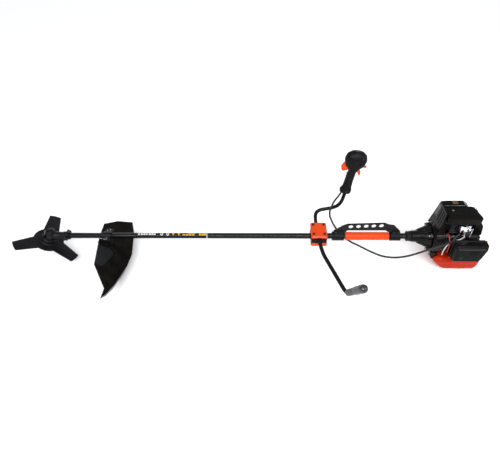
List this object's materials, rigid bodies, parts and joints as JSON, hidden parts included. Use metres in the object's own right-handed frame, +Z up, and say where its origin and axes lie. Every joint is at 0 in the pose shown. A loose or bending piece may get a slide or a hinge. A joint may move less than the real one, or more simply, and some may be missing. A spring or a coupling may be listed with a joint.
{
  "type": "brush cutter",
  "caption": "Petrol brush cutter with a straight shaft, three-tooth blade, guard, bicycle handlebars, throttle grip, harness rail and clutch-driven engine.",
  "frame": {"origin": "on the ground under the middle of the machine's outline, as it stands on its fuel tank and guard", "axes": "+X along the shaft from the blade to the engine, +Y to the operator's right, +Z up"},
  "size_m": [1.953, 0.5208, 0.4567],
  "materials": {
    "gloss_black_paint": "gloss",
    "black_plastic": "satin",
    "black_painted_metal": "satin",
    "orange_plastic": "satin",
    "black_rubber": "matte",
    "blade_steel": "satin",
    "bright_steel": "brushed",
    "cast_aluminium": "cast",
    "grey_grip": "satin",
    "red_plastic": "gloss",
    "clear_line": "translucent"
  },
  "bodies": {
    "machine": {"outer_tube": "gloss_black_paint", "liner_bush": "black_rubber", "tube_collar": "black_rubber", "protective_sleeve": "orange_plastic", "gear_case": "black_painted_metal", "guard": "black_plastic", "guard_bracket": "black_painted_metal", "guard_clamp": "black_plastic", "handlebar_left": "gloss_black_paint", "handlebar_right": "gloss_black_paint", "clamp_base": "orange_plastic", "clamp_middle": "black_plastic", "clamp_cap": "orange_plastic", "clamp_screw_1": "bright_steel", "clamp_screw_2": "bright_steel", "clamp_screw_3": "bright_steel", "clamp_screw_4": "bright_steel", "left_grip": "grey_grip", "throttle_housing_left": "black_plastic", "throttle_housing_right": "black_plastic", "hanger_rail": "black_painted_metal", "rail_clamp_front": "black_plastic", "rail_clamp_rear": "black_plastic", "clutch_case": "black_painted_metal", "fan_housing": "black_plastic", "crankcase": "black_painted_metal", "cylinder": "cast_aluminium", "plug_cap": "black_rubber", "top_cover": "black_plastic", "rear_shroud": "black_plastic", "recoil_housing": "black_plastic", "carburettor": "cast_aluminium", "air_cleaner_base": "black_plastic", "air_cleaner_cover": "black_plastic", "muffler": "blade_steel", "fuel_tank": "orange_plastic", "throttle_cable": "black_rubber", "fuel_line": "clear_line", "stop_wire": "red_plastic"},
    "blade_spindle": {"output_shaft": "bright_steel", "crown_gear": "bright_steel", "blade_holder": "blade_steel", "blade": "blade_steel", "clamp_washer": "bright_steel", "stabiliser_cap": "bright_steel", "blade_nut": "bright_steel"},
    "drive_line": {"drive_shaft": "bright_steel", "pinion": "bright_steel", "clutch_drum": "bright_steel"},
    "crank_rotor": {"crankshaft": "bright_steel", "flywheel": "cast_aluminium", "clutch_shoes": "blade_steel"},
    "trigger": {"trigger": "orange_plastic"},
    "lockout_lever": {"lockout_lever": "orange_plastic"},
    "stop_switch": {"stop_switch": "red_plastic"},
    "throttle_lever": {"throttle_lever": "bright_steel"},
    "choke_lever": {"choke_lever": "orange_plastic"},
    "primer_bulb": {"primer_bulb": "red_plastic"},
    "starter_handle": {"starter_handle": "orange_plastic"},
    "fuel_cap": {"fuel_cap": "black_plastic"}
  },
  "joints": [
    {"name": "blade_turn", "type": "hinge", "parent": "machine", "child": "blade_spindle", "pos_m": [-0.85249, 0.10013, 0.127], "axis": [0.5, 0, 0.866], "continuous": true},
    {"name": "drive_line_turn", "type": "hinge", "parent": "machine", "child": "drive_line", "pos_m": [0.02651, 0.10013, 0.127], "axis": [1, 0, 0], "continuous": true},
    {"name": "crank_turn", "type": "hinge", "parent": "machine", "child": "crank_rotor", "pos_m": [0.82651, 0.10013, 0.127], "axis": [1, 0, 0], "continuous": true},
    {"name": "trigger_pull", "type": "hinge", "parent": "machine", "child": "trigger", "pos_m": [0.43187, 0.23127, 0.40807], "axis": [0.0068, -0.9965, 0.0837], "range_deg": [0, 20], "stiffness_Nm_per_rad": 0.4},
    {"name": "throttle_lever_turn", "type": "hinge", "parent": "machine", "child": "throttle_lever", "pos_m": [0.87951, 0.04312, 0.237], "axis": [0, 0, 1], "range_deg": [0, 60]},
    {"name": "lockout_press", "type": "hinge", "parent": "machine", "child": "lockout_lever", "pos_m": [0.46323, 0.22885, 0.37672], "axis": [-0.0068, 0.9965, -0.0837], "range_deg": [0, 12], "stiffness_Nm_per_rad": 0.3},
    {"name": "stop_switch_slide", "type": "slide", "parent": "machine", "child": "stop_switch", "axis": [0.1604, 0.0837, 0.9835], "range_m": [0, 0.006]},
    {"name": "choke_turn", "type": "hinge", "parent": "machine", "child": "choke_lever", "pos_m": [0.94951, 0.01613, 0.163], "axis": [-1, 0, 0], "range_deg": [0, 60]},
    {"name": "primer_press", "type": "slide", "parent": "machine", "child": "primer_bulb", "axis": [1, 0, 0], "range_m": [0, 0.004], "stiffness_N_per_m": 800},
    {"name": "starter_pull", "type": "slide", "parent": "machine", "child": "starter_handle", "axis": [0, -1, 0], "range_m": [0, 0.7], "stiffness_N_per_m": 15, "springref_m": -0.1},
    {"name": "fuel_cap_unscrew", "type": "hinge", "parent": "machine", "child": "fuel_cap", "pos_m": [0.85251, 0.03913, 0.087], "axis": [0, 0, 1], "range_deg": [0, 270]}
  ],
  "couplings": [
    {"joint": "drive_line_turn", "follows": "blade_turn", "ratio": -1.3571},
    {"joint": "throttle_lever_turn", "follows": "trigger_pull", "ratio": 3}
  ]
}
